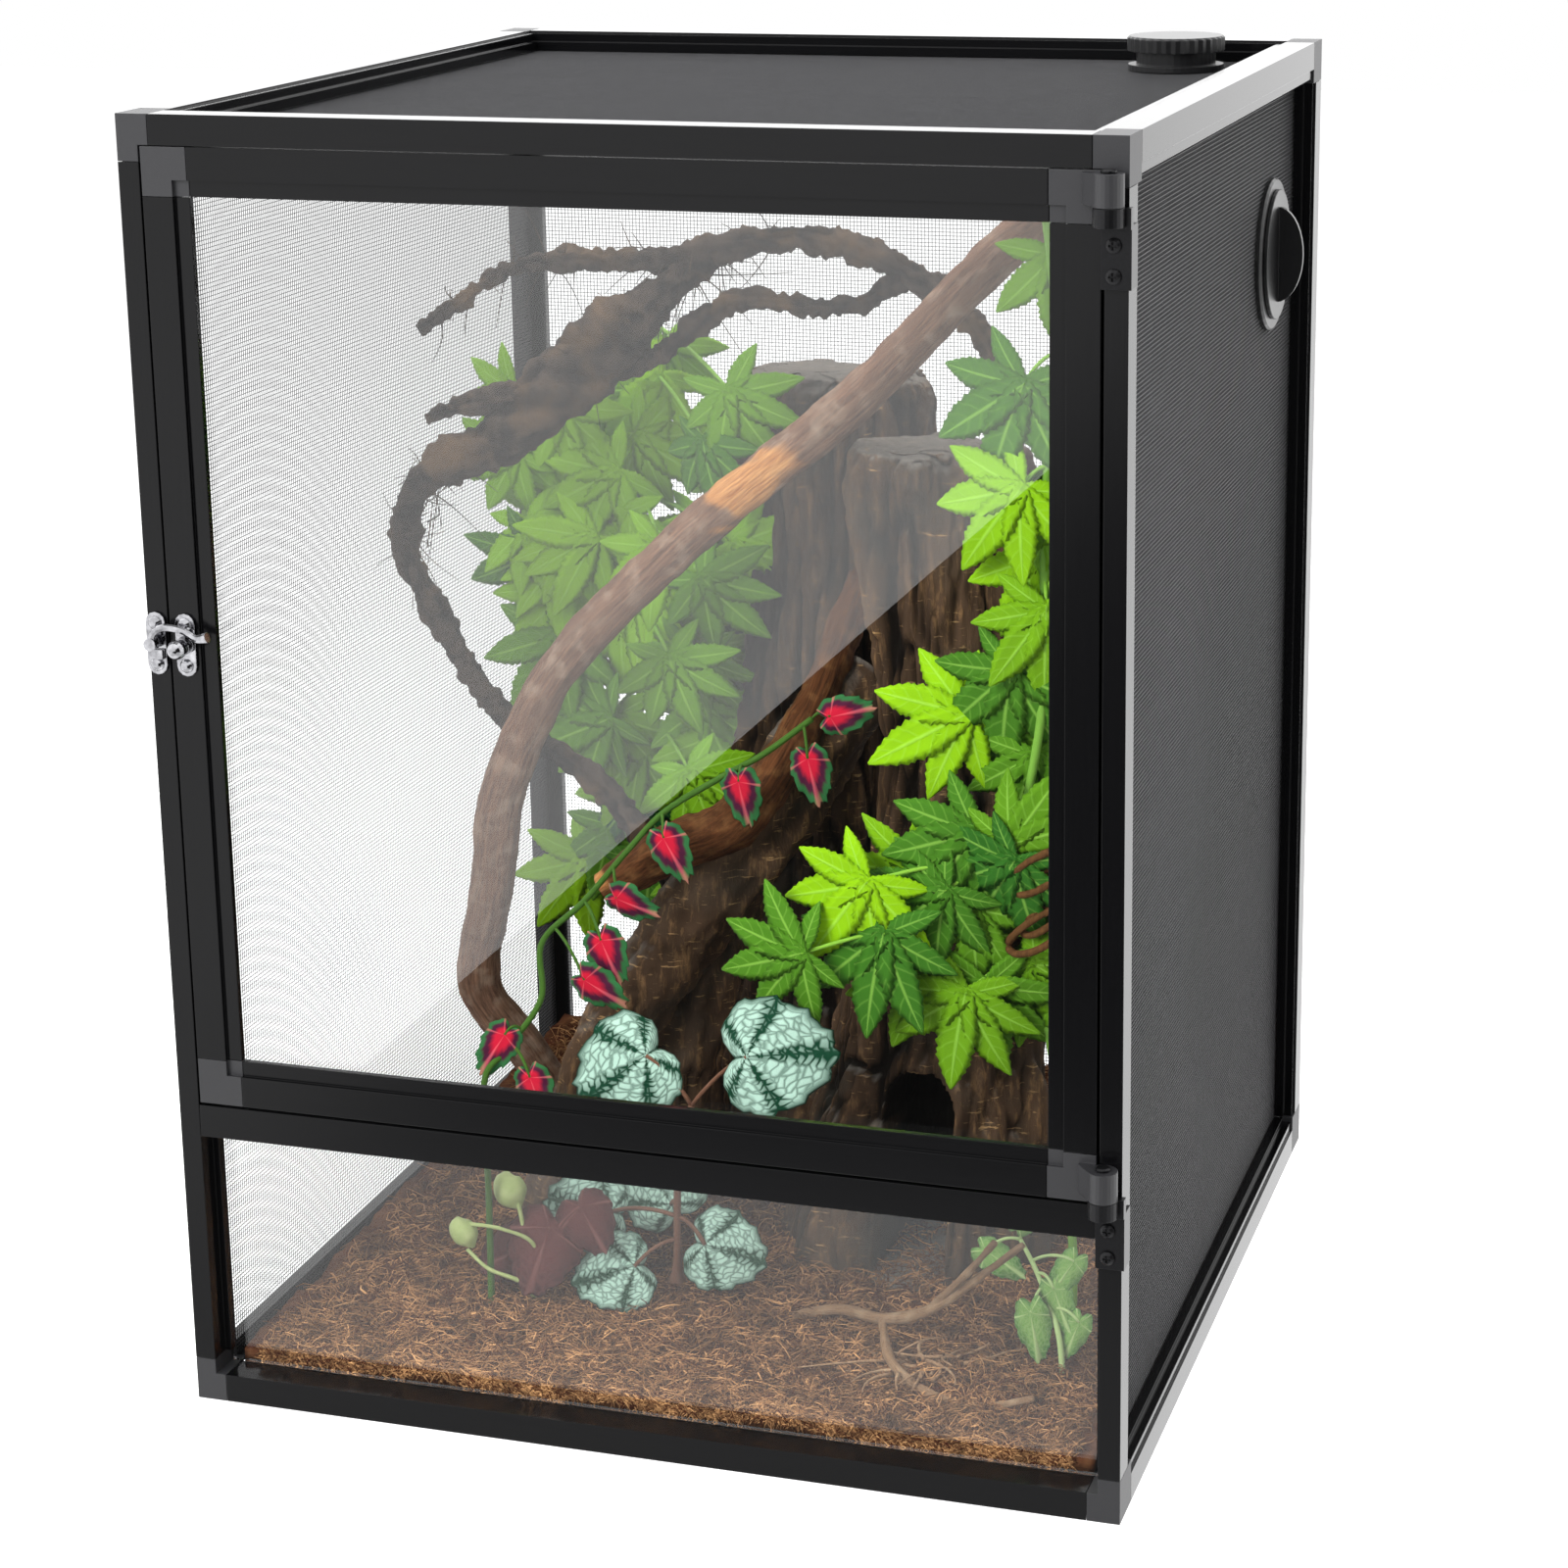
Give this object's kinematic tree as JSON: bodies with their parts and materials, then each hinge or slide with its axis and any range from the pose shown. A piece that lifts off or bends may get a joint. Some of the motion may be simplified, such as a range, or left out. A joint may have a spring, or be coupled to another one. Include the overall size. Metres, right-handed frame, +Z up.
{
  "type": "front-opening screen terrarium",
  "caption": "Tall screen terrarium with a hinged clear door, swing latch, capped ports, and a planted interior of bark stumps, a climbing branch, vine and leaves.",
  "frame": {"origin": "under the middle of the whole part's bounding box, on the floor", "axes": "+Z up, the door faces -Y, its hinge is on the +X side"},
  "size_m": [0.4574, 0.4644, 0.617],
  "materials": {
    "black_anodised": "satin black anodised",
    "connector_plastic": "fine matt grey-black",
    "black_screen": "woven black screen",
    "clear_pane": "clear polished",
    "base_sheet": "matt black",
    "black_steel": "black oxide",
    "chrome": "polished",
    "port_plastic": "satin black",
    "coconut_fibre": "loose fibre",
    "bark": "rough dark bark",
    "branch_wood": "weathered wood",
    "twisted_vine": "fibrous matt",
    "silk_leaf": "coated leaf fabric",
    "silver_leaf": "coated leaf fabric",
    "red_leaf": "coated leaf fabric"
  },
  "bodies": {
    "enclosure": {"bark_trunk": "bark", "base_panel": "base_sheet", "begonia_plant": "silver_leaf", "climbing_branch": "branch_wood", "coleus_vine": "red_leaf", "connector_bottom_back_left": "connector_plastic", "connector_bottom_back_right": "connector_plastic", "connector_bottom_front_left": "connector_plastic", "connector_bottom_front_right": "connector_plastic", "connector_top_back_left": "connector_plastic", "connector_top_back_right": "connector_plastic", "connector_top_front_left": "connector_plastic", "connector_top_front_right": "connector_plastic", "hinge_leaf_bottom": "black_steel", "hinge_leaf_top": "black_steel", "hinge_pin_bottom": "black_steel", "hinge_pin_top": "black_steel", "hinge_screw_bottom_1": "black_steel", "hinge_screw_bottom_2": "black_steel", "hinge_screw_top_1": "black_steel", "hinge_screw_top_2": "black_steel", "latch_keeper": "chrome", "leaf_garland_left": "silk_leaf", "leaf_garland_right": "silk_leaf", "lower_pane": "clear_pane", "mesh_back": "black_screen", "mesh_left": "black_screen", "mesh_right": "black_screen", "mesh_top": "black_screen", "middle_rail": "black_anodised", "post_back_left": "black_anodised", "post_back_right": "black_anodised", "post_front_left": "black_anodised", "post_front_right": "black_anodised", "rail_bottom_back": "black_anodised", "rail_bottom_front": "black_anodised", "rail_bottom_left": "black_anodised", "rail_bottom_right": "black_anodised", "rail_top_back": "black_anodised", "rail_top_front": "black_anodised", "rail_top_left": "black_anodised", "rail_top_right": "black_anodised", "root_twigs": "branch_wood", "side_port_ring": "port_plastic", "substrate_bed": "coconut_fibre", "top_port_ring": "port_plastic", "twisted_vine": "twisted_vine"},
    "door": {"door_corner_bottom_left": "connector_plastic", "door_corner_bottom_right": "connector_plastic", "door_corner_top_left": "connector_plastic", "door_corner_top_right": "connector_plastic", "door_pane": "clear_pane", "door_rail_bottom": "black_anodised", "door_rail_top": "black_anodised", "door_stile_left": "black_anodised", "door_stile_right": "black_anodised", "latch_stud_plate": "chrome"},
    "latch_arm": {"latch_arm": "chrome"},
    "side_cap": {"side_port_cap": "port_plastic"},
    "top_cap": {"top_port_cap": "port_plastic"}
  },
  "joints": [
    {"name": "door_hinge", "type": "hinge", "parent": "enclosure", "child": "door", "pos_m": [0.2147, -0.22459, 0.36], "axis": [0, 0, 1], "range_deg": [0, 170]},
    {"name": "latch_swing", "type": "hinge", "parent": "door", "child": "latch_arm", "pos_m": [-0.2093, -0.22139, 0.373], "axis": [0, 1, 0], "range_deg": [0, 100]},
    {"name": "side_cap_twist", "type": "hinge", "parent": "enclosure", "child": "side_cap", "pos_m": [0.2117, 0.14821, 0.51], "axis": [1, 0, 0], "range_deg": [0, 90]},
    {"name": "top_cap_twist", "type": "hinge", "parent": "enclosure", "child": "top_cap", "pos_m": [0.1597, 0.16221, 0.6], "axis": [0, 0, 1], "range_deg": [0, 90]}
  ]
}
